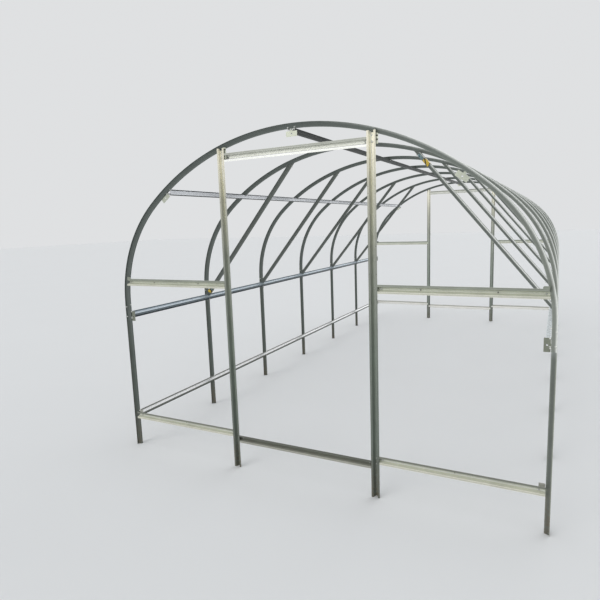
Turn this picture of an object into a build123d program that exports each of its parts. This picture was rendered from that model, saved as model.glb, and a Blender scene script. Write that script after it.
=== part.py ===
"""Bare frame of an arched greenhouse, rolled from one hat-shaped steel section.

Frame: +X to the right seen from the front, +Y back along the house, +Z up.
The origin is on the ground, in the middle of the house. Sizes are in millimetres.
"""

import os
from math import atan2, cos, degrees, hypot, radians, sin, sqrt

from build123d import *

# House
WIDTH = 3000.0
LENGTH = 6000.0
BAYS = 6
ARCH_RISE = 1163.0
SHOULDER_RADIUS = 964.0

# Rolled hat section: two flanges, two sloped webs and a crown
SHEET = 1.5
HAT_WIDTH = 54.0
HAT_DEPTH = 28.0
MOUTH_WIDTH = 30.0
WEB_RUN = 10.0

# Heights over the feet
BOTTOM_RAIL_HEIGHT = 225.0
THRESHOLD_DROP = 36.0
LAP_BOTTOM = 1020.0
LAP_TOP = 1160.0
SPRING_HEIGHT = 1165.0
GIRT_HEIGHT = 1297.0
HEADER_CLEARANCE = 34.0

# Centres of the longerons; the upper one at a share of the crown arc from the ridge
BOTTOM_LONGERON_HEIGHT = 259.0
MIDDLE_LONGERON_HEIGHT = 1066.0
UPPER_LONGERON_SHARE = 0.86

# Door posts and struts
POST_SPACING = 1040.0
STRUT_HEAD_OFFSET = 505.0

# Connection plates at the ends of the longerons
PLATE_LENGTH = 76.0
PLATE_HEIGHT = 33.0
PLATE_NECK = 14.0
PLATE_HOLE = 9.0

# How each plate hangs: how far down along the arch or leg, and how far inside it
ARCH_PLATES = {
    "ridge": (0.0, 14.0),
    "upper_left": (50.0, 2.0),
    "upper_right": (30.0, 12.0),
    "middle_left": (12.0, 2.0),
    "middle_right": (12.0, 2.0),
}
LEG_PLATES = {
    "bottom_left": (10.0, 2.0),
    "bottom_right": (10.0, 2.0),
}

# Section of the hat, worked out once
WEB_SLOPE = WEB_RUN / (HAT_DEPTH - SHEET)
WEB_ACROSS = SHEET * hypot(1.0, WEB_SLOPE)

# Three arcs of the arch at the outer face of its flanges, from the springing line
ARCH_HALF = WIDTH / 2 - SHEET
SHOULDER_X = ARCH_HALF - SHOULDER_RADIUS
TOP_STEP = ARCH_RISE - SHOULDER_RADIUS
CROWN_CENTRE_DROP = (SHOULDER_X**2 - TOP_STEP**2) / (2 * TOP_STEP)
CROWN_RADIUS = CROWN_CENTRE_DROP + ARCH_RISE
SHOULDER_TURN = degrees(atan2(CROWN_CENTRE_DROP, SHOULDER_X))
CROWN_TURN = 90 - SHOULDER_TURN

# Places that several pieces share
ARCH_PITCH = (LENGTH - HAT_WIDTH) / BAYS
ARCH_PLACES = [-LENGTH / 2 + HAT_WIDTH / 2 + i * ARCH_PITCH for i in range(BAYS + 1)]
INNER_CROWN_RADIUS = CROWN_RADIUS - HAT_DEPTH
CROWN_CENTRE_HEIGHT = SPRING_HEIGHT - CROWN_CENTRE_DROP
LEG_INNER_X = WIDTH / 2 - HAT_DEPTH
ARCH_INNER_X = ARCH_HALF - HAT_DEPTH
LONGERON_END = LENGTH / 2 - HAT_DEPTH - SHEET
CHORD_GAP = INNER_CROWN_RADIUS - sqrt(INNER_CROWN_RADIUS**2 - (HAT_WIDTH / 2) ** 2)
POST_NOTCH = HAT_WIDTH / 2 - MOUTH_WIDTH / 2 - 2 * SHEET
CUTTER_SIZE = 2 * (WIDTH + SPRING_HEIGHT + ARCH_RISE)

X_AXIS = Vector(1, 0, 0)
Y_AXIS = Vector(0, 1, 0)
Z_AXIS = Vector(0, 0, 1)

os.makedirs("parts", exist_ok=True)


def under_crown(x):
    """Height of the inner face of the arch at x, on the crown arc."""
    return CROWN_CENTRE_HEIGHT + sqrt(INNER_CROWN_RADIUS**2 - x**2)


def member_plane(start, along, depth):
    """Plane across a member: its normal runs along it, its y from flanges to crown."""
    return Plane(origin=start, x_dir=depth.cross(along), z_dir=along)


def half_outline(mouth, filled):
    """Right half of the section: flanges on y = 0, crown at HAT_DEPTH, open towards -y."""
    half = HAT_WIDTH / 2
    mouth_in = mouth / 2
    channel = [(mouth_in - WEB_RUN, HAT_DEPTH - SHEET), (mouth_in, 0)]
    mouth_out = mouth_in + WEB_ACROSS - WEB_SLOPE * SHEET
    crown_out = mouth_in + WEB_ACROSS - WEB_SLOPE * HAT_DEPTH
    outside = [(half, 0), (half, SHEET), (mouth_out, SHEET), (crown_out, HAT_DEPTH)]
    return outside if filled else channel + outside


def hat_section(mouth, filled=False):
    """Section of the hat, or its outer shape with the channel filled in."""
    right_side = half_outline(mouth, filled)
    left_side = [(-x, y) for x, y in reversed(right_side)]
    with BuildSketch() as section:
        with BuildLine():
            Polyline(*right_side, *left_side, close=True)
        make_face()
    return section.sketch


HAT = hat_section(MOUTH_WIDTH)
HAT_ENVELOPE = hat_section(MOUTH_WIDTH, filled=True)
LEG_HAT = hat_section(MOUTH_WIDTH - 2 * (WEB_ACROSS - WEB_SLOPE * SHEET))


def add_hat(start, end, depth, section=HAT, mode=Mode.ADD):
    """Add a straight member between two points on the line of its flanges."""
    along = (end - start).normalized()
    with BuildSketch(member_plane(start, along, depth)) as profile:
        add(section)
    extrude(to_extrude=profile.sketch, amount=(end - start).length, mode=mode)


def cope_hat(start, end, depth):
    """Cut the place that a crossing member takes, so that the end seats on it."""
    add_hat(start, end, depth, section=HAT_ENVELOPE, mode=Mode.SUBTRACT)


def arch_line(inset, foot):
    """Draw the arch at a distance inside its flange line, from foot to foot."""
    half = ARCH_HALF - inset
    shoulder = SHOULDER_RADIUS - inset
    crown = CROWN_RADIUS - inset
    Line((-half, foot), (-half, SPRING_HEIGHT))
    left = JernArc((-half, SPRING_HEIGHT), (0, 1), shoulder, -SHOULDER_TURN)
    top = JernArc(left @ 1, left % 1, crown, -2 * CROWN_TURN)
    right = JernArc(top @ 1, top % 1, shoulder, -SHOULDER_TURN)
    Line(right @ 1, (half, foot))


def section_plane(y):
    """Upright plane across the house at y, with its own y as the height."""
    return Plane(origin=(0, y, 0), x_dir=(1, 0, 0), z_dir=(0, -1, 0))


def inside_of_arch():
    """All that lies inside the inner face of the arch."""
    with BuildSketch() as inside:
        with BuildLine():
            arch_line(HAT_DEPTH, -SPRING_HEIGHT)
            Line((ARCH_INNER_X, -SPRING_HEIGHT), (-ARCH_INNER_X, -SPRING_HEIGHT))
        make_face()
    return inside.sketch


ARCH_INSIDE = inside_of_arch()


def keep_inside_arch(y, depth):
    """Trim what is built so far by the inner face of the arch, from y on by depth."""
    with BuildSketch(section_plane(y)) as inside:
        add(ARCH_INSIDE)
    extrude(to_extrude=inside.sketch, amount=depth, dir=Y_AXIS, mode=Mode.INTERSECT)


def cut_at_arch(y, depth):
    """Cut away what reaches past the inner face of the arch, from y on by depth."""
    with BuildSketch(section_plane(y)) as outside:
        Rectangle(CUTTER_SIZE, CUTTER_SIZE)
        add(ARCH_INSIDE, mode=Mode.SUBTRACT)
    extrude(to_extrude=outside.sketch, amount=depth, dir=Y_AXIS, mode=Mode.SUBTRACT)


def save(piece, name):
    """Label a finished piece and write it to its file."""
    piece.part.label = name
    export_step(piece.part, f"parts/{name}.step")


# Arches: the hat swept along two short legs, two shoulders and the crown

for number, place in enumerate(ARCH_PLACES, start=1):
    with BuildPart() as arch:
        with BuildLine(section_plane(place)) as arch_path:
            arch_line(0, LAP_BOTTOM)
        with BuildSketch(member_plane((-ARCH_HALF, place, LAP_BOTTOM), Z_AXIS, X_AXIS)):
            add(HAT)
        sweep(path=arch_path.wires()[0])
    save(arch, f"arch_{number}")


# Legs: a narrower hat nested into the channel of the arch from outside

for number, place in enumerate(ARCH_PLACES, start=1):
    with BuildPart() as legs:
        for side in (-1, 1):
            foot = Vector(side * WIDTH / 2, place, 0)
            add_hat(foot, foot + LAP_TOP * Z_AXIS, -side * X_AXIS, section=LEG_HAT)
    save(legs, f"legs_{number}")


# Struts: from the middle longeron up to the crown, in the plane of each inner arch

STRUT_FOOT = Vector(ARCH_INNER_X, 0, MIDDLE_LONGERON_HEIGHT)
STRUT_HEAD = Vector(STRUT_HEAD_OFFSET, 0, under_crown(STRUT_HEAD_OFFSET))
STRUT_ALONG = (STRUT_HEAD - STRUT_FOOT).normalized()
STRUT_DEPTH = STRUT_ALONG.cross(Y_AXIS)
PAST_FOOT = HAT_DEPTH
PAST_HEAD = 4 * HAT_DEPTH

for number, place in enumerate(ARCH_PLACES[1:-1], start=2):
    with BuildPart() as struts:
        for side in (-1, 1):
            along = Vector(side * STRUT_ALONG.X, 0, STRUT_ALONG.Z)
            depth = Vector(side * STRUT_DEPTH.X, 0, STRUT_DEPTH.Z)
            low = Vector(side * STRUT_FOOT.X, place, STRUT_FOOT.Z) - HAT_DEPTH * depth
            high = Vector(side * STRUT_HEAD.X, place, STRUT_HEAD.Z) - HAT_DEPTH * depth
            add_hat(low - PAST_FOOT * along, high + PAST_HEAD * along, depth)
        keep_inside_arch(place - HAT_WIDTH / 2, HAT_WIDTH)
        for side in (-1, 1):
            crossing = Vector(side * ARCH_INNER_X, place, MIDDLE_LONGERON_HEIGHT)
            cope_hat(crossing - HAT_WIDTH * Y_AXIS, crossing + HAT_WIDTH * Y_AXIS, -side * X_AXIS)
    save(struts, f"struts_{number}")


# Longerons: hats along the house, flanges against the inner face of the arches


def crown_seat(angle):
    """Seat under the crown at an angle from upright, to the right if positive, and its depth."""
    outward = Vector(sin(radians(angle)), 0, cos(radians(angle)))
    return Vector(0, 0, CROWN_CENTRE_HEIGHT) + (INNER_CROWN_RADIUS - CHORD_GAP) * outward, -outward


UPPER_ANGLE = UPPER_LONGERON_SHARE * CROWN_TURN

LONGERON_SEATS = {
    "bottom_left": (Vector(-LEG_INNER_X, 0, BOTTOM_LONGERON_HEIGHT), X_AXIS),
    "middle_left": (Vector(-ARCH_INNER_X, 0, MIDDLE_LONGERON_HEIGHT), X_AXIS),
    "middle_right": (Vector(ARCH_INNER_X, 0, MIDDLE_LONGERON_HEIGHT), -X_AXIS),
    "upper_left": crown_seat(-UPPER_ANGLE),
    "ridge": crown_seat(0.0),
}

for name, (seat, depth) in LONGERON_SEATS.items():
    with BuildPart() as longeron:
        add_hat(seat - LONGERON_END * Y_AXIS, seat + LONGERON_END * Y_AXIS, depth)
    save(longeron, f"longeron_{name}")


# End walls: door posts, header, girts, bottom rails and threshold

POST_X = POST_SPACING / 2
POST_TOP = under_crown(POST_X - HAT_WIDTH / 2)
RAIL_MIDDLE = HAT_WIDTH / 2
HEADER_HEIGHT = POST_TOP - HEADER_CLEARANCE - HAT_WIDTH
THRESHOLD_HEIGHT = BOTTOM_RAIL_HEIGHT - THRESHOLD_DROP

for wall, wall_name in ((-1, "front"), (1, "back")):
    face_y = wall * LENGTH / 2
    inward = -wall * Y_AXIS

    for side, side_name in ((-1, "left"), (1, "right")):
        post_foot = Vector(side * POST_X, face_y, 0)
        post_head = Vector(side * POST_X, face_y, POST_TOP)

        with BuildPart() as post:
            add_hat(post_foot, post_head, inward)
            notch_y = face_y - wall * (POST_NOTCH if wall < 0 else HAT_DEPTH)
            cut_at_arch(notch_y, HAT_DEPTH - POST_NOTCH)
        save(post, f"{wall_name}_post_{side_name}")

        with BuildPart() as bottom_rail:
            height = BOTTOM_RAIL_HEIGHT + RAIL_MIDDLE
            outer = Vector(side * LEG_INNER_X, face_y, height)
            inner = Vector(side * POST_X, face_y, height)
            add_hat(outer, inner, inward)
            cope_hat(post_foot, post_head, inward)
        save(bottom_rail, f"{wall_name}_bottom_rail_{side_name}")

        with BuildPart() as girt:
            height = GIRT_HEIGHT + RAIL_MIDDLE
            outer = Vector(side * ARCH_INNER_X, face_y, height)
            inner = Vector(side * POST_X, face_y, height)
            add_hat(outer, inner, inward)
            cope_hat(post_foot, post_head, inward)
            keep_inside_arch(min(face_y, face_y - wall * HAT_DEPTH), HAT_DEPTH)
        save(girt, f"{wall_name}_girt_{side_name}")

    for name, bottom in (("threshold", THRESHOLD_HEIGHT), ("header", HEADER_HEIGHT)):
        with BuildPart() as cross_rail:
            left_end = Vector(-POST_X, face_y, bottom + RAIL_MIDDLE)
            right_end = Vector(POST_X, face_y, bottom + RAIL_MIDDLE)
            add_hat(left_end, right_end, inward)
            for side in (-1, 1):
                post_foot = Vector(side * POST_X, face_y, 0)
                cope_hat(post_foot, post_foot + POST_TOP * Z_AXIS, inward)
        save(cross_rail, f"{wall_name}_{name}")


# Connection plates: one at each crossing of the end arches, hung by a short neck


def plate_seat(name, slide):
    """Where a plate hangs from its arch or leg, and the direction from there inwards."""
    side = -1 if name.endswith("left") else 1
    if name.startswith("bottom"):
        return Vector(side * LEG_INNER_X, 0, BOTTOM_LONGERON_HEIGHT - slide), -side * X_AXIS
    if name.startswith("middle"):
        return Vector(side * ARCH_INNER_X, 0, MIDDLE_LONGERON_HEIGHT - slide), -side * X_AXIS
    if name.startswith("upper"):
        return crown_seat(side * (UPPER_ANGLE + degrees(slide / INNER_CROWN_RADIUS)))
    return crown_seat(0.0)


def add_plate(name, hang, y, root=0.0):
    """Add one plate at y: neck from its seat, or from a root past it, the plate further inwards."""
    slide, drop = hang
    seat, depth = plate_seat(name, slide)
    plate_plane = Plane(origin=seat + y * Y_AXIS, x_dir=Y_AXIS.cross(depth), z_dir=Y_AXIS)
    inwards = plate_plane.to_local_coords(plate_plane.origin + depth)
    middle = drop + PLATE_HEIGHT / 2
    with BuildSketch(plate_plane) as outline:
        with Locations(inwards * middle):
            Rectangle(PLATE_LENGTH, PLATE_HEIGHT)
        with Locations(inwards * (middle - root) / 2):
            Rectangle(PLATE_NECK, middle + root)
        with Locations(inwards * middle):
            Rectangle(PLATE_HOLE, PLATE_HOLE, mode=Mode.SUBTRACT)
    extrude(to_extrude=outline.sketch, amount=SHEET)


for wall_name, plate_y in (("front", -LONGERON_END - SHEET), ("back", LONGERON_END)):
    with BuildPart() as plates:
        for name, hang in ARCH_PLATES.items():
            add_plate(name, hang, plate_y, root=SHEET)
        cut_at_arch(plate_y, SHEET)
        for name, hang in LEG_PLATES.items():
            add_plate(name, hang, plate_y)
    save(plates, f"{wall_name}_plates")
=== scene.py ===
"""Looks of the greenhouse frame: galvanised steel on every member, bolts, brackets, punched
holes, tape and film, a pale floor, soft light and the camera. Lengths are in metres, in the
frame of the model. Tones are written as they look, each channel from 0 to 255.
"""

from math import atan2, cos, hypot, pi, radians, sin, sqrt

import bmesh
import bpy
from mathutils import Matrix, Vector


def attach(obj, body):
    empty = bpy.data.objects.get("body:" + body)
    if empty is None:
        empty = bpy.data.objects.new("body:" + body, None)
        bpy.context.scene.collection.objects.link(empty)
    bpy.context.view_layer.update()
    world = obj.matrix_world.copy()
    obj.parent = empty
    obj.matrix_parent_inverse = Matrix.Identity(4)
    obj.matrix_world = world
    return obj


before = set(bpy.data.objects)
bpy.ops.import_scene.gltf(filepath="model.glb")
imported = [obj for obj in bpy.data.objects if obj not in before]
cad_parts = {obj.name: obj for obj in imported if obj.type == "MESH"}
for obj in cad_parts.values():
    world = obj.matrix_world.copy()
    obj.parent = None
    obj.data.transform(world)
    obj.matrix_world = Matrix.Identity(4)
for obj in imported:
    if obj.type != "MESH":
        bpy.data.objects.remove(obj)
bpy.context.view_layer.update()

# Camera, fitted to the frame in the photograph
CAMERA_PLACE = Vector((1.4850, -5.8031, 1.7165))
CAMERA_YAW = radians(-27.384)
CAMERA_PITCH = radians(8.566)
CAMERA_ROLL = radians(-2.029)
LENS = 30.066
SENSOR = 36.0
VIEW_END = 500.0

# The model's own sizes, for placing the tones and the fasteners
WIDTH = 3.0
LENGTH = 6.0
ARCHES = 7
SHEET = 0.0015
HAT_WIDTH = 0.054
HAT_DEPTH = 0.028
CROWN_HALF = 0.006
WEB_FOOT = 0.016
FLANGE_MIDDLE = 0.0215
SPRING_Z = 1.165
ARCH_RISE = 1.163
SHOULDER_RADIUS = 0.964
UPPER_SHARE = 0.86
POST_X = 0.52
STRUT_HEAD_X = 0.505
BOTTOM_Z = 0.259
MIDDLE_Z = 1.066
RAIL_MIDDLE = {"bottom_rail": 0.252, "threshold": 0.216, "girt": 1.324, "header": 2.168}

# Places that follow from these sizes
PITCH = (LENGTH - HAT_WIDTH) / (ARCHES - 1)
ARCH_Y = [-LENGTH / 2 + HAT_WIDTH / 2 + i * PITCH for i in range(ARCHES)]
LEG_INNER_X = WIDTH / 2 - HAT_DEPTH
ARCH_INNER_X = LEG_INNER_X - SHEET
SHOULDER_X = WIDTH / 2 - SHEET - SHOULDER_RADIUS
TOP_STEP = ARCH_RISE - SHOULDER_RADIUS
CENTRE_DROP = (SHOULDER_X**2 - TOP_STEP**2) / (2 * TOP_STEP)
CROWN_CENTRE_Z = SPRING_Z - CENTRE_DROP
INNER_CROWN_RADIUS = CENTRE_DROP + ARCH_RISE - HAT_DEPTH
CROWN_TURN = pi / 2 - atan2(CENTRE_DROP, SHOULDER_X)
UPPER_ANGLE = -UPPER_SHARE * CROWN_TURN
SIDES = (-1, 1)
WALLS = ((-1, "front"), (1, "back"))

X_AXIS = Vector((1, 0, 0))
Y_AXIS = Vector((0, 1, 0))
Z_AXIS = Vector((0, 0, 1))


def set_camera():
    """Put the camera where the photograph was taken."""
    level = cos(CAMERA_PITCH)
    forward = Vector((sin(CAMERA_YAW) * level, cos(CAMERA_YAW) * level, -sin(CAMERA_PITCH)))
    right = Vector((cos(CAMERA_YAW), -sin(CAMERA_YAW), 0.0))
    up = right.cross(forward)
    rolled_right = cos(CAMERA_ROLL) * right + sin(CAMERA_ROLL) * up
    rolled_up = cos(CAMERA_ROLL) * up - sin(CAMERA_ROLL) * right
    turn = Matrix((rolled_right, rolled_up, -forward)).transposed()
    data = bpy.data.cameras.new("camera")
    data.lens = LENS
    data.sensor_width = SENSOR
    data.sensor_fit = "HORIZONTAL"
    data.clip_end = VIEW_END
    camera = bpy.data.objects.new("camera", data)
    camera.matrix_world = Matrix.Translation(CAMERA_PLACE) @ turn.to_4x4()
    bpy.context.scene.collection.objects.link(camera)
    bpy.context.scene.camera = camera


set_camera()
bpy.context.scene.view_settings.view_transform = "Standard"

# Helpers for node materials

# Sockets of a mix node that mixes colours, and of one that mixes shaders
MIX_FACTOR = 0
MIX_FIRST = 6
MIX_SECOND = 7
MIX_RESULT = 2
FIRST_SHADER = 1
SECOND_SHADER = 2

# How a display turns linear light into the channels of a colour
CHANNEL_MAX = 255
DISPLAY_OFFSET = 0.055
DISPLAY_POWER = 2.4


def new_material(name):
    """An empty node material with its output and a principled shader joined up."""
    material = bpy.data.materials.new(name)
    material.use_nodes = True
    tree = material.node_tree
    tree.nodes.clear()
    output = tree.nodes.new("ShaderNodeOutputMaterial")
    shader = tree.nodes.new("ShaderNodeBsdfPrincipled")
    tree.links.new(shader.outputs["BSDF"], output.inputs["Surface"])
    return material, tree, shader


def object_place(tree):
    """Places on an object, in the frame of the model."""
    return tree.nodes.new("ShaderNodeTexCoord").outputs["Object"]


def surface_normal(tree):
    """The way the surface faces."""
    return tree.nodes.new("ShaderNodeNewGeometry").outputs["Normal"]


def texture(tree, kind, place, scale, **settings):
    """A texture node at a scale in features per metre."""
    node = tree.nodes.new(kind)
    node.inputs["Scale"].default_value = scale
    for key, value in settings.items():
        node.inputs[key].default_value = value
    tree.links.new(place, node.inputs["Vector"])
    return node


def mapped(tree, value, low, high, start=0.0, end=1.0):
    """A value between start and end mapped to low..high."""
    node = tree.nodes.new("ShaderNodeMapRange")
    node.inputs["From Min"].default_value = start
    node.inputs["From Max"].default_value = end
    node.inputs["To Min"].default_value = low
    node.inputs["To Max"].default_value = high
    tree.links.new(value, node.inputs["Value"])
    return node.outputs["Result"]


def computed(tree, operation, *values):
    """The result of a math node; each value is a socket or a number."""
    node = tree.nodes.new("ShaderNodeMath")
    node.operation = operation
    for index, value in enumerate(values):
        if isinstance(value, (int, float)):
            node.inputs[index].default_value = value
        else:
            tree.links.new(value, node.inputs[index])
    return node.outputs["Value"]


def from_vectors(tree, operation, first, second):
    """The node that works on two vectors; the second is a socket or a fixed vector."""
    node = tree.nodes.new("ShaderNodeVectorMath")
    node.operation = operation
    tree.links.new(first, node.inputs[0])
    if isinstance(second, bpy.types.NodeSocket):
        tree.links.new(second, node.inputs[1])
    else:
        node.inputs[1].default_value = second
    return node


def mixed(tree, factor, first, second):
    """Two colours mixed by a factor; each is a socket or a colour."""
    node = tree.nodes.new("ShaderNodeMix")
    node.data_type = "RGBA"
    for key, value in ((MIX_FIRST, first), (MIX_SECOND, second)):
        if isinstance(value, tuple):
            node.inputs[key].default_value = (*value, 1.0)
        else:
            tree.links.new(value, node.inputs[key])
    tree.links.new(factor, node.inputs[MIX_FACTOR])
    return node.outputs[MIX_RESULT]


def facing(tree, direction):
    """How far the surface faces a fixed direction, from -1 to 1."""
    fixed = Vector(direction).normalized()
    return from_vectors(tree, "DOT_PRODUCT", surface_normal(tree), fixed).outputs["Value"]


def place_along(tree, axis):
    """The place along an axis of the house, in metres."""
    split = tree.nodes.new("ShaderNodeSeparateXYZ")
    tree.links.new(object_place(tree), split.inputs["Vector"])
    return split.outputs[axis]


def tone(red, green, blue):
    """Linear light of a colour given as it looks, each channel from 0 to 255."""
    shares = [channel / CHANNEL_MAX for channel in (red, green, blue)]
    return tuple(((share + DISPLAY_OFFSET) / (1 + DISPLAY_OFFSET)) ** DISPLAY_POWER for share in shares)


def ramp(tree, value, stops):
    """Tones at rising values, blended in between."""
    start, end = stops[0][0], stops[-1][0]
    node = tree.nodes.new("ShaderNodeValToRGB")
    elements = node.color_ramp.elements
    while len(elements) < len(stops):
        elements.new(1.0)
    for element, (at, colour) in zip(elements, stops):
        element.position = (at - start) / (end - start)
        element.color = (*tone(*colour), 1.0)
    tree.links.new(mapped(tree, value, 0.0, 1.0, start, end), node.inputs["Fac"])
    return node.outputs["Color"]


def scaled(tree, colour, factor):
    """A colour made lighter or darker by a factor."""
    node = tree.nodes.new("ShaderNodeVectorMath")
    node.operation = "SCALE"
    tree.links.new(colour, node.inputs[0])
    tree.links.new(factor, node.inputs["Scale"])
    return node.outputs["Vector"]


# Distances off the middle of a member


def off_line(direction, middle):
    """Distance off a member's middle line, along a direction across the member."""
    def offset(tree):
        along = from_vectors(tree, "DOT_PRODUCT", object_place(tree), direction).outputs["Value"]
        return computed(tree, "SUBTRACT", along, middle)
    return offset


def off_arch(tree):
    """Distance off the middle plane of the nearest arch."""
    along = computed(tree, "SUBTRACT", place_along(tree, "Y"), ARCH_Y[0])
    return computed(tree, "WRAP", along, PITCH / 2, -PITCH / 2)


def off_post(tree):
    """Distance off the middle line of the nearest door post."""
    return computed(tree, "SUBTRACT", computed(tree, "ABSOLUTE", place_along(tree, "X")), POST_X)


# Surface of zinc-coated sheet
BRIGHTEST = 0.90
# Width of the painted highlights on the bends and edges
BEND_SHINE = 0.0020
CLOUD_SCALE = 7.0
SPANGLE_SCALE = 160.0
SCUFF_SCALE = 60.0
NOISE_ROUGHNESS = 0.6
CLOUD_SPAN = (0.3, 0.7)
CLOUD_CHANGE = 0.08
FLECK_CHANGE = 0.04
SCUFF_CHANGE = 0.08
SPECKLE_CHANGE = 0.04
SCUFF_BUMP = 0.06
SCUFF_HEIGHT = 0.0003
SOIL_TONE = (104, 88, 66)
SOIL_HEIGHT = 0.32
SOIL_COVER = 0.75
SOIL_SPAN = (0.35, 0.65)


def capped(tree, colour):
    """A colour held below the brightness of white paint."""
    limit = (BRIGHTEST, BRIGHTEST, BRIGHTEST)
    return from_vectors(tree, "MINIMUM", colour, limit).outputs["Vector"]


def bend_highlights(tree, offset):
    """1 on the bends and edges of a hat section, where highlights are painted as if the rounded bends
    caught the light.
    """
    away = computed(tree, "ABSOLUTE", offset(tree))
    lines = 0.0
    for bend in (CROWN_HALF, WEB_FOOT, HAT_WIDTH / 2):
        near = computed(tree, "ABSOLUTE", computed(tree, "SUBTRACT", away, bend))
        lines = computed(tree, "MAXIMUM", mapped(tree, near, 1.0, 0.0, 0.0, BEND_SHINE), lines)
    return lines


def soil_mask(tree, grain):
    """Splashes of soil on the lowest stretch of what stands in the ground."""
    low = mapped(tree, place_along(tree, "Z"), SOIL_COVER, 0.0, 0.0, SOIL_HEIGHT)
    return computed(tree, "MULTIPLY", low, mapped(tree, grain, 0.0, 1.0, *SOIL_SPAN))


def add_bump(tree, shader, height):
    """Faint unevenness of the surface."""
    bump = tree.nodes.new("ShaderNodeBump")
    bump.inputs["Strength"].default_value = SCUFF_BUMP
    bump.inputs["Distance"].default_value = SCUFF_HEIGHT
    tree.links.new(height, bump.inputs["Height"])
    tree.links.new(bump.outputs["Normal"], shader.inputs["Normal"])


def galvanised(name, base, offset=None, rough=0.42, metal=0.35, shine=0.40, soiled=False):
    """Rolled zinc-coated sheet: its tone from base, over it painted highlights on the bends, spangle,
    cloudy patches, faint scuffs and, near the ground, soil."""
    material, tree, shader = new_material(name)
    place = object_place(tree)
    clouds = texture(tree, "ShaderNodeTexNoise", place, CLOUD_SCALE, Detail=5.0, Roughness=NOISE_ROUGHNESS)
    spangle = texture(tree, "ShaderNodeTexVoronoi", place, SPANGLE_SCALE)
    scuffs = texture(tree, "ShaderNodeTexNoise", place, SCUFF_SCALE, Detail=4.0, Roughness=NOISE_ROUGHNESS)
    flecks = tree.nodes.new("ShaderNodeSeparateColor")
    tree.links.new(spangle.outputs["Color"], flecks.inputs["Color"])
    cloudy = mapped(tree, clouds.outputs["Fac"], 1 - CLOUD_CHANGE, 1 + CLOUD_CHANGE, *CLOUD_SPAN)
    flecked = mapped(tree, flecks.outputs["Red"], 1 - FLECK_CHANGE, 1 + FLECK_CHANGE)
    level = computed(tree, "MULTIPLY", cloudy, flecked)
    if offset:
        # Painted highlights on the bends and edges, lighter by shine
        highlight_level = mapped(tree, bend_highlights(tree, offset), 1.0, 1.0 + shine)
        level = computed(tree, "MULTIPLY", level, highlight_level)
    colour = scaled(tree, base(tree), level)
    if soiled:
        colour = mixed(tree, soil_mask(tree, scuffs.outputs["Fac"]), colour, tone(*SOIL_TONE))
    tree.links.new(capped(tree, colour), shader.inputs["Base Color"])
    scuffed = mapped(tree, scuffs.outputs["Fac"], rough - SCUFF_CHANGE, rough + SCUFF_CHANGE)
    speckled = mapped(tree, flecks.outputs["Green"], -SPECKLE_CHANGE, SPECKLE_CHANGE)
    tree.links.new(computed(tree, "ADD", scuffed, speckled), shader.inputs["Roughness"])
    shader.inputs["Metallic"].default_value = metal
    add_bump(tree, shader, scuffs.outputs["Fac"])
    return material


# Tones of the arches and the legs by how far a face looks left, of the struts by how far it
# looks up, of the posts and the plates by height. On all but the plates these tones are painted light and
# shade.
ARCH_TONES = (
    (-1.0, (87, 94, 90)),
    (0.0, (93, 99, 95)),
    (0.34, (108, 112, 106)),
    (1.0, (144, 147, 140)),
)
LEG_TONES = (
    (-0.5, (77, 84, 79)),
    (0.0, (89, 95, 90)),
    (0.4, (101, 106, 100)),
    (1.0, (110, 113, 104)),
)
STRUT_TONES = (
    (-0.9, (86, 91, 87)),
    (0.1, (99, 104, 99)),
    (0.8, (178, 180, 176)),
)
POST_TONES = (
    (0.0, (98, 104, 98)),
    (0.9, (113, 120, 112)),
    (1.5, (130, 133, 124)),
    (1.9, (163, 162, 149)),
    (2.15, (200, 196, 179)),
)
PLATE_TONES = (
    (0.4, (190, 190, 182)),
    (1.0, (124, 128, 114)),
    (1.4, (138, 144, 132)),
    (1.9, (172, 176, 162)),
    (2.25, (190, 194, 178)),
)
# Painted light on the faces in the open channels
OPEN_TONE = (152, 156, 149)
# Painted highlights on the rims of the arches, struts and legs, then the paler tone where the right legs
# lap the arches
ARCH_RIM_TONE = (206, 208, 204)
STRUT_RIM_TONE = (222, 224, 219)
LEG_RIM_TONE = (146, 149, 140)
LAP_TONE = (176, 182, 182)

# Where these tones change, and by how much the painted light raises them on the right side of the house
RIGHT_SPAN = (0.2, 1.1)
RIM_SPAN = (0.0120, 0.0150)
OUTWARD_SPAN = (0.1, 0.4)
LIT_SPAN = (0.55, 0.95)
STRUT_UP = (0.3, 0, 1)
ARCH_GAIN = 1.4
ARCH_RIM = 0.85
STRUT_GAIN = 1.35
LEG_RIM = (0.2, 0.9)
LAP_SPAN = (0.98, 1.08)
LAP_COVER = 0.7
# Painted light that lifts the shade in the end walls' channels and on their webs
CHANNEL_GAIN = 1.42
WEB_GAIN = 1.32
WEB_SPAN = (0.35, 0.95)
HOLE_RADIUS = 0.0025
HOLE_SHADE = 0.12
HOLE_RIM = 0.8
POST_HOLES = (0.236, 0.278, 1.262, 1.412, 1.576, 1.879, 1.918)


def on_right(tree):
    """0 left of the ridge, 1 towards the right side of the house."""
    return mapped(tree, place_along(tree, "X"), 0.0, 1.0, *RIGHT_SPAN)


def rim(tree):
    """1 on the flanges of an arch's section and on the webs next to them."""
    return mapped(tree, computed(tree, "ABSOLUTE", off_arch(tree)), 0.0, 1.0, *RIM_SPAN)


def lit(tree, direction):
    """1 on the faces that look one way, else 0."""
    return mapped(tree, facing(tree, direction), 0.0, 1.0, *LIT_SPAN)


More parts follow.
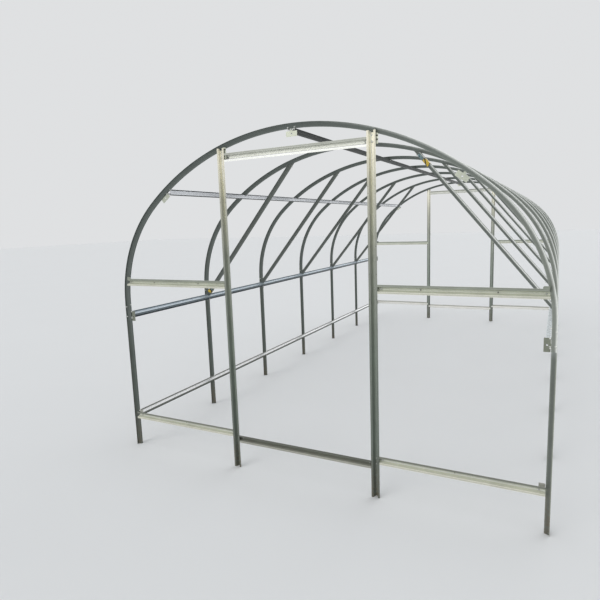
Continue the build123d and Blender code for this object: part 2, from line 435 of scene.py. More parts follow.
def outward(tree):
    """1 on the faces that look out of the house, in the open channels, else 0."""
    from_middle = tree.nodes.new("ShaderNodeCombineXYZ")
    above = computed(tree, "SUBTRACT", place_along(tree, "Z"), SPRING_Z)
    tree.links.new(place_along(tree, "X"), from_middle.inputs["X"])
    tree.links.new(computed(tree, "MAXIMUM", above, 0.0), from_middle.inputs["Z"])
    away = from_vectors(tree, "DOT_PRODUCT", from_middle.outputs["Vector"], surface_normal(tree))
    return mapped(tree, away.outputs["Value"], 0.0, 1.0, *OUTWARD_SPAN)


def open_side(tree, inner):
    """The tone of the inner faces, with a paler tone painted as light on the faces in the open channels.
    """
    return mixed(tree, outward(tree), inner, tone(*OPEN_TONE))


def arch_tone(tree):
    """Steel painted lighter on the faces that look left and darker on those that look right, lighter still
    towards the right side of the house, with a painted highlight on its rim there.
    """
    across = ramp(tree, facing(tree, -X_AXIS), ARCH_TONES)
    lighter = scaled(tree, across, mapped(tree, on_right(tree), 1.0, ARCH_GAIN))
    edge = computed(tree, "MULTIPLY", rim(tree), mapped(tree, on_right(tree), 0.0, ARCH_RIM))
    return open_side(tree, mixed(tree, edge, lighter, tone(*ARCH_RIM_TONE)))


def strut_tone(tree):
    """Steel painted lighter on the faces that look up, lighter still on the right side of the house, with
    a painted highlight on its rim there.
    """
    facet = ramp(tree, facing(tree, STRUT_UP), STRUT_TONES)
    lighter = scaled(tree, facet, mapped(tree, on_right(tree), 1.0, STRUT_GAIN))
    edge = computed(tree, "MULTIPLY", rim(tree), on_right(tree))
    return open_side(tree, mixed(tree, edge, lighter, tone(*STRUT_RIM_TONE)))


def leg_tone(tree):
    """Steel painted lighter on the faces that look left, with a painted highlight on the rims towards the
    right side, and paler where the right legs lap the arches.
    """
    side = ramp(tree, facing(tree, -X_AXIS), LEG_TONES)
    edge = computed(tree, "MULTIPLY", rim(tree), mapped(tree, on_right(tree), *LEG_RIM))
    rimmed = mixed(tree, edge, side, tone(*LEG_RIM_TONE))
    lap = mapped(tree, place_along(tree, "Z"), 0.0, LAP_COVER, *LAP_SPAN)
    lapped = mixed(tree, computed(tree, "MULTIPLY", lap, on_right(tree)), rimmed, tone(*LAP_TONE))
    return open_side(tree, lapped)


def channel_painted_light(tree):
    """Painted light, lifting the shade on the webs and the bottom of a channel above that on its open
    flanges.
    """
    away = computed(tree, "ABSOLUTE", place_along(tree, "Y"))
    depth = mapped(tree, away, CHANNEL_GAIN, 1.0, LENGTH / 2 - HAT_DEPTH, LENGTH / 2)
    upright = computed(tree, "ABSOLUTE", facing(tree, Y_AXIS))
    web = mapped(tree, upright, WEB_GAIN, 1.0, *WEB_SPAN)
    return computed(tree, "MULTIPLY", depth, web)


def hole_spots(tree, offset, heights):
    """Dark in the small punched holes of both flanges at some heights, else 1."""
    join = tree.nodes.new("ShaderNodeCombineXYZ")
    away = computed(tree, "SUBTRACT", computed(tree, "ABSOLUTE", offset(tree)), FLANGE_MIDDLE)
    tree.links.new(away, join.inputs["X"])
    tree.links.new(place_along(tree, "Z"), join.inputs["Z"])
    nearest = 1.0
    for height in heights:
        gap = from_vectors(tree, "DISTANCE", join.outputs["Vector"], height * Z_AXIS)
        nearest = computed(tree, "MINIMUM", gap.outputs["Value"], nearest)
    return mapped(tree, nearest, HOLE_SHADE, 1.0, HOLE_RIM * HOLE_RADIUS, HOLE_RADIUS)


def post_tone(tree):
    """Greenish grey low down, painted lighter and creamy towards the top as a painted reflection of the
    sky, with painted light in its channel and punched flanges.
    """
    height = ramp(tree, place_along(tree, "Z"), POST_TONES)
    whole = computed(tree, "MULTIPLY", channel_painted_light(tree), hole_spots(tree, off_post, POST_HOLES))
    return scaled(tree, height, whole)


def plate_tone(tree):
    """Greenish and dull on the plates half-way up, pale on those near the ground and the ridge."""
    return ramp(tree, place_along(tree, "Z"), PLATE_TONES)


# Tones of the longerons, painted light and shade: the lit web first, the shaded faces last, and in between
# the upright faces of the two on the left that have them
LOW_TONES = ((246, 247, 247), (112, 114, 108), (62, 65, 58))
MIDDLE_TONES = ((206, 217, 226), (104, 114, 120), (56, 63, 67))
RIGHT_TONES = ((206, 212, 214), (140, 146, 146))
UPPER_TONES = ((178, 180, 183), (72, 75, 74))
RIDGE_TONES = ((80, 83, 79), (54, 57, 54))
LEFT_WEB = (0.35, 0, 0.94)
RIGHT_WEB = (-0.35, 0, 0.94)
UPPER_ACROSS = Vector((cos(UPPER_ANGLE), 0, -sin(UPPER_ANGLE)))
UPPER_MIDDLE = CROWN_CENTRE_Z * UPPER_ACROSS.z

# Members across the end walls: where their middle is, then tones low, in the middle and high, painted
# light and shade across each rail
RAIL_TONES = {
    "front_threshold": ("threshold", (158, 158, 148), (92, 94, 86), (98, 100, 92)),
    "back_threshold": ("threshold", (222, 220, 211), (208, 206, 198), (158, 157, 150)),
    "back_bottom_rail": ("bottom_rail", (224, 222, 213), (206, 204, 196), (152, 152, 145)),
    "bottom_rail": ("bottom_rail", (198, 197, 183), (174, 176, 165), (120, 122, 113)),
    "girt": ("girt", (190, 190, 177), (164, 166, 154), (134, 138, 128)),
    "back_header": ("header", (196, 197, 189), (176, 177, 169), (138, 140, 132)),
    "header": ("header", (226, 227, 220), (194, 195, 186), (152, 154, 146)),
}

# How far the face of a bolt looks up where its painted light tone begins; below it the tone darkens as
# painted shade
BOLT_LIGHT = 0.2


def rail_tone(middle, low, centre, high):
    """Tones of painted light and shade from the lower flange over the middle to the upper flange of a
    rail, with painted light in its channel.
    """
    def base(tree):
        height = off_line(Z_AXIS, middle)(tree)
        stops = ((-WEB_FOOT, low), (-CROWN_HALF, centre), (WEB_FOOT, high))
        return scaled(tree, ramp(tree, height, stops), channel_painted_light(tree))
    return base


def side_longeron_tone(middle, bright, upright, dark):
    """Painted light on the web that faces up, a dull tone on the upright faces and painted shade below the
    middle line.
    """
    def base(tree):
        height = off_line(Z_AXIS, middle)(tree)
        rise = mapped(tree, height, 0.0, 1.0, -WEB_FOOT, -CROWN_HALF)
        shaded = mixed(tree, rise, tone(*dark), tone(*upright))
        return open_side(tree, mixed(tree, lit(tree, LEFT_WEB), shaded, tone(*bright)))
    return base


def longeron_tone(bright_side, bright, dark):
    """Painted shade but for the web that faces one way, which is painted lit."""
    def base(tree):
        return open_side(tree, mixed(tree, lit(tree, bright_side), tone(*dark), tone(*bright)))
    return base


def plain_tone(light, dark):
    """One tone, with painted shade underneath."""
    def base(tree):
        return ramp(tree, facing(tree, Z_AXIS), ((-1.0, dark), (BOLT_LIGHT, light)))
    return base


# Steels of the members, each by a word in the names of its nodes


def longeron_steels():
    """The steel of each longeron."""
    low = side_longeron_tone(BOTTOM_Z, *LOW_TONES)
    middle = side_longeron_tone(MIDDLE_Z, *MIDDLE_TONES)
    right = longeron_tone(RIGHT_WEB, *RIGHT_TONES)
    upper = longeron_tone(UPPER_ACROSS, *UPPER_TONES)
    ridge = longeron_tone(Z_AXIS, *RIDGE_TONES)
    bottom_line = off_line(Z_AXIS, BOTTOM_Z)
    middle_line = off_line(Z_AXIS, MIDDLE_Z)
    upper_line = off_line(UPPER_ACROSS, UPPER_MIDDLE)
    smooth = {"rough": 0.30, "metal": 0.5}
    return {
        "longeron_bottom_left": galvanised("longeron_low_steel", low, bottom_line, **smooth),
        "longeron_middle_left": galvanised("longeron_middle_steel", middle, middle_line, **smooth),
        "longeron_middle_right": galvanised("longeron_right_steel", right, middle_line, rough=0.30),
        "longeron_upper_left": galvanised("longeron_upper_steel", upper, upper_line, **smooth),
        "longeron_ridge": galvanised("ridge_steel", ridge, off_line(X_AXIS, 0.0)),
    }


def rail_steels():
    """The steel of each kind of member across the end walls."""
    steels = {}
    for kind, (place, *tones) in RAIL_TONES.items():
        middle = RAIL_MIDDLE[place]
        base = rail_tone(middle, *tones)
        steels[kind] = galvanised(f"{kind}_steel", base, off_line(Z_AXIS, middle), shine=0.6)
    return steels


STEELS = {
    "arch": galvanised("arch_steel", arch_tone, off_arch),
    "struts": galvanised("strut_steel", strut_tone, off_arch),
    "legs": galvanised("leg_steel", leg_tone, off_arch, shine=0.6, soiled=True),
    "post": galvanised("post_steel", post_tone, off_post, soiled=True),
    "plates": galvanised("plate_steel", plate_tone, rough=0.38),
    **longeron_steels(),
    **rail_steels(),
}
BOLT_TONE = plain_tone((236, 237, 233), (170, 171, 166))
WALL_BOLT_TONE = plain_tone((176, 178, 172), (120, 122, 117))
# Painted shade: a darker copy of the bolt steel for the bracket bolts, which sit in shadow behind the post
# flanges; the eyelets take it too
DARK_BOLT_TONE = plain_tone((66, 62, 58), (40, 38, 36))
BOLT_STEEL = galvanised("bolt_steel", BOLT_TONE, rough=0.28, metal=0.6)
WALL_BOLT_STEEL = galvanised("wall_bolt_steel", WALL_BOLT_TONE, rough=0.34, metal=0.6)
DARK_BOLT_STEEL = galvanised("dark_bolt_steel", DARK_BOLT_TONE, rough=0.5)

for node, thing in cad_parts.items():
    thing.data.materials.clear()
    thing.data.materials.append(next(steel for kind, steel in STEELS.items() if kind in node))

# Fasteners: a 5 mm bolt, its nut and its washer

HEX_RADIUS = 0.0046
HEX_SIDES = 6
HEAD_HEIGHT = 0.0036
NUT_HEIGHT = 0.0042
WASHER_RADIUS = 0.0050
WASHER_THICKNESS = 0.0010
WASHER_SIDES = 18
SHANK_RADIUS = 0.0025
THREAD_PITCH = 0.0008
THREADS = 5
THREAD_SIDES = 10
THREAD_ROOT = 0.86
THREAD_TIP = 0.6

# Rings of a shape, as shares of its radius and of its height
WASHER_RINGS = ((1.0, 0.0), (1.0, 0.7), (0.94, 1.0))
HEAD_RINGS = ((1.0, 0.0), (1.0, 0.75), (0.82, 1.0))
NUT_RINGS = ((0.88, 0.0), (1.0, 0.12), (1.0, 0.88), (0.88, 1.0))

# Where the root and the crest of a thread and the bolt's tip are, as shares of the pitch
ROOT_SHARE = 0.1
CREST_SHARE = 0.6
TIP_SHARE = 0.2


def turned(bm, place, axis, profile, sides):
    """A closed shape round an axis, through rings given as radius and height."""
    turn = Matrix.Translation(place) @ axis.to_track_quat("Z", "Y").to_matrix().to_4x4()
    angles = [2 * pi * i / sides for i in range(sides)]
    rings = []
    for radius, height in profile:
        points = [Vector((radius * cos(angle), radius * sin(angle), height)) for angle in angles]
        rings.append([bm.verts.new(turn @ point) for point in points])
    for low, high in zip(rings, rings[1:]):
        for i in range(sides):
            j = (i + 1) % sides
            bm.faces.new((low[i], low[j], high[j], high[i]))
    bm.faces.new(list(reversed(rings[0])))
    bm.faces.new(rings[-1])


def sized(rings, radius, foot, height):
    """Rings given as shares, at a radius and from a foot up to a height."""
    return [(share * radius, foot + rise * height) for share, rise in rings]


def add_washer(bm, place, axis, radius=WASHER_RADIUS):
    """A thin round washer lying on a face."""
    turned(bm, place, axis, sized(WASHER_RINGS, radius, 0.0, WASHER_THICKNESS), WASHER_SIDES)


def add_head(bm, place, axis):
    """A chamfered hexagon head on a washer."""
    add_washer(bm, place, axis)
    turned(bm, place, axis, sized(HEAD_RINGS, HEX_RADIUS, WASHER_THICKNESS, HEAD_HEIGHT), HEX_SIDES)


def add_nut(bm, place, axis):
    """A hexagon nut on a washer, with the threaded end of its bolt standing out."""
    add_washer(bm, place, axis)
    turned(bm, place, axis, sized(NUT_RINGS, HEX_RADIUS, WASHER_THICKNESS, NUT_HEIGHT), HEX_SIDES)
    top = WASHER_THICKNESS + NUT_HEIGHT
    thread = [(SHANK_RADIUS, top - THREAD_PITCH)]
    for i in range(THREADS):
        thread.append((THREAD_ROOT * SHANK_RADIUS, top + (i + ROOT_SHARE) * THREAD_PITCH))
        thread.append((SHANK_RADIUS, top + (i + CREST_SHARE) * THREAD_PITCH))
    thread.append((THREAD_TIP * SHANK_RADIUS, top + (THREADS + TIP_SHARE) * THREAD_PITCH))
    turned(bm, place, axis, thread, THREAD_SIDES)


def add_bolt(bm, place, axis, grip):
    """A bolt through a grip of sheet: the nut on the face at place, the head behind it."""
    add_nut(bm, place, axis)
    add_head(bm, place - grip * axis, -axis)


def finished(bm, name, material, smooth=False):
    """Turn the mesh into a piece that rides on the frame."""
    bmesh.ops.recalc_face_normals(bm, faces=bm.faces)
    mesh = bpy.data.meshes.new(name)
    bm.to_mesh(mesh)
    bm.free()
    mesh.materials.append(material)
    for polygon in mesh.polygons:
        polygon.use_smooth = smooth
    piece = bpy.data.objects.new(name, mesh)
    bpy.context.scene.collection.objects.link(piece)
    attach(piece, "root")


# Bolts where longerons, legs and struts meet the arches


def crown_seat(angle):
    """Seat on the inner face of the arch at an angle from upright, as SEATS gives it."""
    outwards = Vector((sin(angle), 0, cos(angle)))
    across = Vector((cos(angle), 0, -sin(angle)))
    gap = INNER_CROWN_RADIUS - sqrt(INNER_CROWN_RADIUS**2 - (HAT_WIDTH / 2) ** 2)
    place = Vector((0, 0, CROWN_CENTRE_Z)) + (INNER_CROWN_RADIUS - gap) * outwards
    return place, -outwards, across, SHEET


# Where each longeron seats: place, way inwards, way across it, thickness behind it
SEATS = {
    "bottom_left": (Vector((-LEG_INNER_X, 0, BOTTOM_Z)), X_AXIS, Z_AXIS, SHEET),
    "middle_left": (Vector((-ARCH_INNER_X, 0, MIDDLE_Z)), X_AXIS, Z_AXIS, 2 * SHEET),
    "middle_right": (Vector((ARCH_INNER_X, 0, MIDDLE_Z)), -X_AXIS, Z_AXIS, 2 * SHEET),
    "upper_left": crown_seat(UPPER_ANGLE),
    "ridge": crown_seat(0.0),
}

# Heights of the bolts at the lap of a leg, and how far strut bolts sit from head and foot
LAP_BOLTS = (1.036, 1.142)
LAP_FLANGE_BOLTS = (1.052, 1.128)
STRUT_HEAD_BOLT = 0.034
STRUT_FOOT_BOLT = 0.1088


def add_seat_bolts(bm, y):
    """Two bolts at each crossing of a longeron and the arch at y."""
    for seat, inward, across, behind in SEATS.values():
        for offset in (-FLANGE_MIDDLE, FLANGE_MIDDLE):
            place = seat + offset * across + y * Y_AXIS + SHEET * inward
            add_bolt(bm, place, inward, SHEET + behind)


def add_lap_bolts(bm, y):
    """Two bolts and four nuts where each leg laps the arch at y."""
    for side in SIDES:
        inward = -side * X_AXIS
        for z in LAP_BOLTS:
            add_bolt(bm, Vector((side * ARCH_INNER_X, y, z)), inward, 2 * SHEET)
        for z in LAP_FLANGE_BOLTS:
            for offset in (-FLANGE_MIDDLE, FLANGE_MIDDLE):
                add_nut(bm, Vector((side * (WIDTH / 2 - 2 * SHEET), y + offset, z)), inward)


def add_crossing_bolts():
    """The bolts on each arch."""
    for number, y in enumerate(ARCH_Y, start=1):
        bm = bmesh.new()
        add_seat_bolts(bm, y)
        add_lap_bolts(bm, y)
        finished(bm, f"bolts_arch_{number}", BOLT_STEEL)


def strut_lines(side):
    """Foot and head of a strut on its crown face, the way along it and the way inwards."""
    head_z = CROWN_CENTRE_Z + sqrt(INNER_CROWN_RADIUS**2 - STRUT_HEAD_X**2)
    foot = Vector((side * ARCH_INNER_X, 0, MIDDLE_Z))
    head = Vector((side * STRUT_HEAD_X, 0, head_z))
    along = (head - foot).normalized()
    return foot, head, along, along.cross(side * Y_AXIS)


def add_strut_bolts():
    """A bolt through the crown of each strut near its head and its foot."""
    for number, y in enumerate(ARCH_Y[1:-1], start=2):
        bm = bmesh.new()
        for side in SIDES:
            foot, head, along, inward = strut_lines(side)
            for place in (head - STRUT_HEAD_BOLT * along, foot + STRUT_FOOT_BOLT * along):
                add_bolt(bm, place + y * Y_AXIS, inward, SHEET)
        finished(bm, f"bolts_struts_{number}", BOLT_STEEL)


# Bolts, rivets and eyelets on the bottom of the end walls' channels
CHANNEL_FLOOR = LENGTH / 2 - HAT_DEPTH + SHEET
JOINT_INSET = 0.045
OUTER_BOLT_X = 1.44
RIVET_ASIDE = 0.003
POST_RIVETS = (2.170, 2.206)
EYELET_RADIUS = 0.0042

# Spare holes of the rails, x and z
RAIL_HOLES = ((0.7965, 1.3235), (1.2090, 1.3225), (0.9955, 0.2540))


def end_wall_places():
    """Where bolts sit in the channels of an end wall, as x and z."""
    places = []
    for side in SIDES:
        for kind, z in RAIL_MIDDLE.items():
            outside = kind in ("bottom_rail", "girt")
            places.append((side * (POST_X + (JOINT_INSET if outside else -JOINT_INSET)), z))
            places.append((side * POST_X, z))
            if outside:
                places.append((side * OUTER_BOLT_X, z))
    return places


def add_wall_bolts(wall, name):
    """Bolts at the joints of an end wall and rivets at the heads of its posts."""
    bm = bmesh.new()
    for x, z in end_wall_places():
        add_head(bm, Vector((x, wall * CHANNEL_FLOOR, z)), wall * Y_AXIS)
    for side in SIDES:
        for z in POST_RIVETS:
            place = Vector((side * POST_X - RIVET_ASIDE, wall * CHANNEL_FLOOR, z))
            add_washer(bm, place, wall * Y_AXIS)
    finished(bm, f"bolts_{name}_wall", WALL_BOLT_STEEL)


def add_wall_eyelets(wall, name):
    """Dark eyelets in the spare holes of an end wall's rails."""
    bm = bmesh.new()
    for side in SIDES:
        for x, z in RAIL_HOLES:
            place = Vector((side * x, wall * CHANNEL_FLOOR, z))
            add_washer(bm, place, wall * Y_AXIS, EYELET_RADIUS)
    finished(bm, f"eyelets_{name}_wall", DARK_BOLT_STEEL)


def add_end_wall_bolts():
    """The fasteners on both end walls."""
    for wall, name in WALLS:
        add_wall_bolts(wall, name)
        add_wall_eyelets(wall, name)


# Nuts on the front web of the first arch, where the ridge plate hangs, x and z
RIDGE_NUTS = ((-0.0179, 2.3054), (0.0033, 2.2953), (0.0286, 2.3059))


def add_ridge_nuts():
    """Nuts on the sloped front web of the first arch."""
    slope = Vector((0, -(HAT_DEPTH - SHEET), -(WEB_FOOT - CROWN_HALF))).normalized()
    bm = bmesh.new()
    for x, z in RIDGE_NUTS:
        depth = SPRING_Z + ARCH_RISE - z
        off = WEB_FOOT - (WEB_FOOT - CROWN_HALF) * (depth - SHEET) / (HAT_DEPTH - SHEET)
        add_nut(bm, Vector((x, ARCH_Y[0] - off, z)), slope)
    finished(bm, "bolts_ridge_front", BOLT_STEEL)


# Small brackets on the heads of the front posts: side, lower and upper end, heights of bolts
POST_BRACKETS = {
    "left": (-1, 2.160, 2.2335, (2.193, 2.221)),
    "right": (1, 2.152, 2.2120, (2.176, 2.198)),
}
BRACKET_Y = -2.9900
BRACKET_NEAR = 0.0134
BRACKET_FAR = 0.0390
BRACKET_BOLT = 0.0329
BRACKET_CORNER = 0.004

# Plates behind the outer ends of the girts
GIRT_BRACKET_NEAR = 1.424
GIRT_BRACKET_FAR = 1.456
GIRT_BRACKET_LAP = 0.012
GIRT_BRACKET_LOW = RAIL_MIDDLE["girt"] + HAT_WIDTH / 2 - GIRT_BRACKET_LAP
GIRT_BRACKET_HIGH = 1.3640
GIRT_BRACKET_CORNER = 0.005
GIRT_BRACKET_Y = {"front": -LENGTH / 2 + SHEET, "back": LENGTH / 2 - 2 * SHEET}


def add_sheet_plate(bm, outline, y, thickness):
    """A flat plate across the house, from its outline as x and z."""
    front = [bm.verts.new((x, y, z)) for x, z in outline]
    back = [bm.verts.new((x, y + thickness, z)) for x, z in outline]
    bm.faces.new(front)
    bm.faces.new(list(reversed(back)))
    for i in range(len(outline)):
        j = (i + 1) % len(outline)
        bm.faces.new((front[j], front[i], back[i], back[j]))


def post_bracket_outline(x, low, high):
    """A bracket beside the post at x, with its two free corners cut."""
    near, far = x + BRACKET_NEAR, x + BRACKET_FAR
    cut = BRACKET_CORNER
    lower = [(near, low), (far - cut, low), (far, low + cut)]
    upper = [(far, high - cut), (far - cut, high), (near, high)]
    return lower + upper


def add_post_brackets():
    """A small bracket on the right side of each front post's head, with two bolts in painted shade."""
    for name, (side, low, high, bolts) in POST_BRACKETS.items():
        x = side * POST_X
        bm = bmesh.new()
        add_sheet_plate(bm, post_bracket_outline(x, low, high), BRACKET_Y, SHEET)
        finished(bm, f"bracket_post_{name}", STEELS["plates"])
        bm = bmesh.new()
        for z in bolts:
            add_head(bm, Vector((x + BRACKET_BOLT, BRACKET_Y, z)), -Y_AXIS)
        finished(bm, f"bolts_bracket_{name}", DARK_BOLT_STEEL)


def girt_bracket_outline(side):
    """A plate over the end of the girt on a side, with its inner upper corner cut."""
    near, far, cut = GIRT_BRACKET_NEAR, GIRT_BRACKET_FAR, GIRT_BRACKET_CORNER
    low, high = GIRT_BRACKET_LOW, GIRT_BRACKET_HIGH
    right = [(near, low), (far, low), (far, high), (near + cut, high), (near, high - cut)]
    return [(side * x, z) for x, z in right]


def add_girt_brackets():
    """A small plate behind the outer end of each girt, showing over its top edge."""
    for name, y in GIRT_BRACKET_Y.items():
        bm = bmesh.new()
        for side in SIDES:
            add_sheet_plate(bm, girt_bracket_outline(side), y, SHEET)
        finished(bm, f"girt_brackets_{name}", STEELS["plates"])


# Outlines of wraps round a hat: distance off its middle and distance from its flanges
FULL_WRAP = [
    (-HAT_WIDTH / 2, 0),
    (HAT_WIDTH / 2, 0),
    (HAT_WIDTH / 2, SHEET),
    (CROWN_HALF, HAT_DEPTH),
    (-CROWN_HALF, HAT_DEPTH),
    (-HAT_WIDTH / 2, SHEET),
]
FILM_EDGE = (0.0132, 0.009)
CROWN_WRAP = [
    FILM_EDGE,
    (CROWN_HALF, HAT_DEPTH),
    (-CROWN_HALF, HAT_DEPTH),
    (-FILM_EDGE[0], FILM_EDGE[1]),
]
WRAP_STEPS = 8
WRAP_ROWS = 12
WRAP_Y = ARCH_Y[1]
WRAP_LIFT = 0.0003
SKIN = 0.0004

# Each wrap: side of its strut, where it starts and ends, depth of its creases. Those on the
# right are measured from the head of the strut, those on the left from its foot.
WRAPS = {
    "tape_strut_right": (1, 0.099, 0.158, 0.0016),
    "tape_strut_left": (-1, 0.072, 0.046, 0.0014),
    "film_strut_right": (1, 0.042, 0.096, 0.0022),
    "film_strut_left": (-1, 0.086, 0.074, 0.0018),
}

# How often the creases rise and fall, per point around and per row along
CREASE_AROUND = (2.3, 0.9)
CREASE_ALONG = (1.7, -2.1)


def add_shell(bm, outer, inner, closed):
    """A thin skin between two grids of points, rows along and columns around."""
    rows, columns = len(outer), len(outer[0])
    top = [[bm.verts.new(point) for point in row] for row in outer]
    under = [[bm.verts.new(point) for point in row] for row in inner]
    last = columns if closed else columns - 1
    for i in range(rows - 1):
        for j in range(last):
            k = (j + 1) % columns
            bm.faces.new((top[i][j], top[i][k], top[i + 1][k], top[i + 1][j]))
            bm.faces.new((under[i][j], under[i + 1][j], under[i + 1][k], under[i][k]))
    for i in (0, rows - 1):
        for j in range(last):
            k = (j + 1) % columns
            bm.faces.new((top[i][j], under[i][j], under[i][k], top[i][k]))
    if not closed:
        for j in (0, columns - 1):
            for i in range(rows - 1):
                bm.faces.new((top[i][j], top[i + 1][j], under[i + 1][j], under[i][j]))


def wrap_points(outline, closed):
    """Points spaced along an outline: off the middle, from the flanges, and the way outwards."""
    points = []
    edges = len(outline) if closed else len(outline) - 1
    for i in range(edges):
        (across, depth), (next_across, next_depth) = outline[i], outline[(i + 1) % len(outline)]
        run, rise = next_across - across, next_depth - depth
        outwards = (rise / hypot(run, rise), -run / hypot(run, rise))
        last = not closed and i == edges - 1
        for step in range(WRAP_STEPS + last):
            share = step / WRAP_STEPS
            points.append((across + share * run, depth + share * rise, outwards))
    return points


def crease_height(around, along):
    """A share from 0 to 1 that rises and falls unevenly round a wrap and along it."""
    first = sin(CREASE_AROUND[0] * around + CREASE_ALONG[0] * along)
    second = cos(CREASE_AROUND[1] * around + CREASE_ALONG[1] * along)
    return 0.5 + 0.5 * first * second


def wrap_place(base, inward, point, lift):
    """Place of a point of a wrap's outline, lifted off the strut."""
    across, depth, (out_across, out_depth) = point
    return base + (across + lift * out_across) * Y_AXIS + (depth + lift * out_depth) * inward


def add_wrap(name, material, side, start, end, outline, closed, crease):
    """Tape or film wound round a strut, from a start to an end as distances from its head."""
    _, head, along, inward = strut_lines(side)
    flange_head = head - HAT_DEPTH * inward + WRAP_Y * Y_AXIS
    points = wrap_points(outline, closed)
    outer, inner = [], []
    for row in range(WRAP_ROWS + 1):
        base = flange_head - (start + (end - start) * row / WRAP_ROWS) * along
        lifts = [WRAP_LIFT + crease * crease_height(index, row) for index in range(len(points))]
        outer.append([wrap_place(base, inward, point, lift + SKIN) for point, lift in zip(points, lifts)])
        inner.append([wrap_place(base, inward, point, lift) for point, lift in zip(points, lifts)])
    bm = bmesh.new()
    add_shell(bm, outer, inner, closed)
    finished(bm, name, material, smooth=True)


# Tape and film: scales of their patterns, tones, where one tone turns into the other, roughness
TAPE_BAND_SCALE = 9.0
TAPE_DIRT_SCALE = 220.0
TAPE_TONES = ((212, 180, 62), (60, 54, 40))
TAPE_SPAN = (0.18, 0.30)
TAPE_ROUGHNESS = (0.25, 0.50)
DIRT_SPAN = (0.3, 0.7)
DIRT_SHADE = (0.8, 1.1)
FILM_CLOUD_SCALE = 90.0
FILM_TONES = ((70, 94, 100), (134, 154, 156))
FILM_SPAN = (0.35, 0.65)
FILM_ROUGHNESS = (0.15, 0.40)


def tape_material():
    """Yellow sticky tape with dark bands, a little crumpled and shiny."""
    material, tree, shader = new_material("warning_tape")
    place = object_place(tree)
    bands = texture(tree, "ShaderNodeTexWave", place, TAPE_BAND_SCALE, Distortion=2.5, Detail=2.0)
    dirt = texture(tree, "ShaderNodeTexNoise", place, TAPE_DIRT_SCALE, Detail=4.0)
    yellow, dark = TAPE_TONES
    band = mapped(tree, bands.outputs["Fac"], 1.0, 0.0, *TAPE_SPAN)
    banded = mixed(tree, band, tone(*yellow), tone(*dark))
    dull = mapped(tree, dirt.outputs["Fac"], *DIRT_SHADE, *DIRT_SPAN)
    tree.links.new(scaled(tree, banded, dull), shader.inputs["Base Color"])
    tree.links.new(mapped(tree, dirt.outputs["Fac"], *TAPE_ROUGHNESS), shader.inputs["Roughness"])
    return material


def film_material():
    """Thin bluish protective film, cloudy where it has come loose."""
    material, tree, shader = new_material("blue_film")
    cloud = texture(tree, "ShaderNodeTexNoise", object_place(tree), FILM_CLOUD_SCALE, Detail=5.0)
    clear, cloudy = FILM_TONES
    loose = mapped(tree, cloud.outputs["Fac"], 0.0, 1.0, *FILM_SPAN)
    tree.links.new(mixed(tree, loose, tone(*clear), tone(*cloudy)), shader.inputs["Base Color"])
    tree.links.new(mapped(tree, cloud.outputs["Fac"], *FILM_ROUGHNESS), shader.inputs["Roughness"])
    return material


def add_strut_wraps():
    """Tape and film at the head of the second arch's right strut and the foot of its left one."""
    tape, film = tape_material(), film_material()
    foot, head, _, _ = strut_lines(1)
    length = (head - foot).length
    for name, (side, start, end, crease) in WRAPS.items():
        if side < 0:
            start, end = length - start, length - end
        if name.startswith("tape"):
            add_wrap(name, tape, side, start, end, FULL_WRAP, True, crease)
        else:
            add_wrap(name, film, side, start, end, CROWN_WRAP, False, crease)


add_crossing_bolts()
add_strut_bolts()
add_end_wall_bolts()
add_ridge_nuts()
add_post_brackets()
add_girt_brackets()
add_strut_wraps()

# Floor, light and surroundings, as linear light
FLOOR_SEEN = (0.76, 0.765, 0.765)
FLOOR_SHADE = (0.73, 0.735, 0.735)
FLOOR_HALF = 60.0
FLOOR_ROUGHNESS = 0.9
MOTTLE_SCALE = 0.8
MOTTLE_SHARE = 0.5
BACKDROP = (0.74, 0.75, 0.76, 1.0)
SKY = (0.94, 0.97, 1.0, 1.0)
AMBIENT = 0.60
LAMP_DISTANCE = 10.0

# Each lamp: the side it shines from, its spread in degrees, power and colour
LAMPS = {
    "key": ((-0.35, -0.90, 0.40), 45.0, 1.0, (1.0, 0.99, 0.97)),
    "top": ((-0.1, -0.15, 1.0), 70.0, 0.35, (0.97, 0.98, 1.0)),
    "back": ((0.40, 0.80, 0.35), 70.0, 1.0, (0.97, 0.98, 1.0)),
}


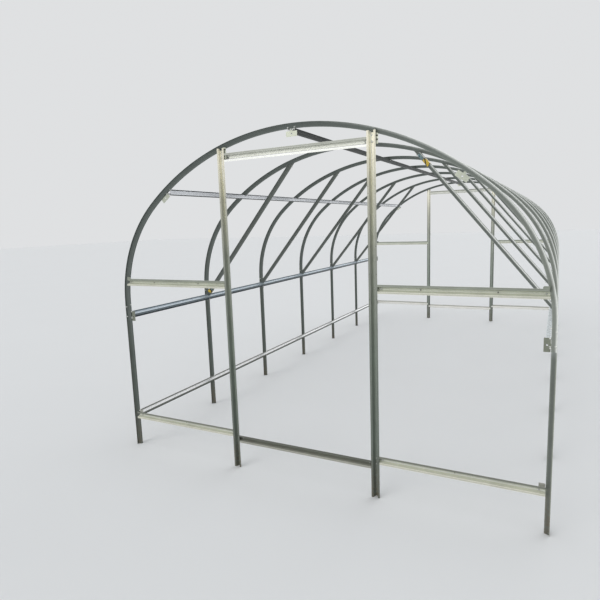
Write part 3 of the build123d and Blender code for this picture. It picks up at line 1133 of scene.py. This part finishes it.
def add_floor():
    """A pale floor out to the horizon."""
    corners = [(x * FLOOR_HALF, y * FLOOR_HALF, 0) for x, y in ((-1, -1), (1, -1), (1, 1), (-1, 1))]
    mesh = bpy.data.meshes.new("floor")
    mesh.from_pydata(corners, [], [(0, 1, 2, 3)])
    floor = bpy.data.objects.new("floor", mesh)
    bpy.context.scene.collection.objects.link(floor)
    material, tree, shader = new_material("floor")
    mottle = texture(tree, "ShaderNodeTexNoise", object_place(tree), MOTTLE_SCALE, Detail=3.0)
    shade = mapped(tree, mottle.outputs["Fac"], 0.0, MOTTLE_SHARE)
    tree.links.new(mixed(tree, shade, FLOOR_SEEN, FLOOR_SHADE), shader.inputs["Base Color"])
    shader.inputs["Roughness"].default_value = FLOOR_ROUGHNESS
    mesh.materials.append(material)


def pale_rays(tree):
    """1 for camera, glossy and transmission rays, which see the pale surroundings, else 0."""
    path = tree.nodes.new("ShaderNodeLightPath")
    seen = path.outputs["Is Camera Ray"]
    for other in ("Is Glossy Ray", "Is Transmission Ray"):
        seen = computed(tree, "MAXIMUM", seen, path.outputs[other])
    return seen


def make_world():
    """Pale surroundings for the camera and reflections, a lower level for the light itself."""
    world = bpy.data.worlds.new("world")
    bpy.context.scene.world = world
    world.use_nodes = True
    tree = world.node_tree
    tree.nodes.clear()
    output = tree.nodes.new("ShaderNodeOutputWorld")
    light = tree.nodes.new("ShaderNodeBackground")
    light.inputs["Color"].default_value = SKY
    light.inputs["Strength"].default_value = AMBIENT
    backdrop = tree.nodes.new("ShaderNodeBackground")
    backdrop.inputs["Color"].default_value = BACKDROP
    mix = tree.nodes.new("ShaderNodeMixShader")
    tree.links.new(pale_rays(tree), mix.inputs["Fac"])
    tree.links.new(light.outputs["Background"], mix.inputs[FIRST_SHADER])
    tree.links.new(backdrop.outputs["Background"], mix.inputs[SECOND_SHADER])
    tree.links.new(mix.outputs["Shader"], output.inputs["Surface"])


def add_soft_sun(name, source, spread, power, colour):
    """A broad, even light from a direction, as from a large softbox far away."""
    data = bpy.data.lights.new(name, "SUN")
    data.angle = radians(spread)
    data.energy = power
    data.color = colour
    lamp = bpy.data.objects.new(name, data)
    lamp.location = LAMP_DISTANCE * Vector(source).normalized()
    lamp.rotation_mode = "QUATERNION"
    lamp.rotation_quaternion = (-Vector(source)).to_track_quat("-Z", "Y")
    bpy.context.scene.collection.objects.link(lamp)


add_floor()
make_world()
for name, lamp in LAMPS.items():
    add_soft_sun(name, *lamp)
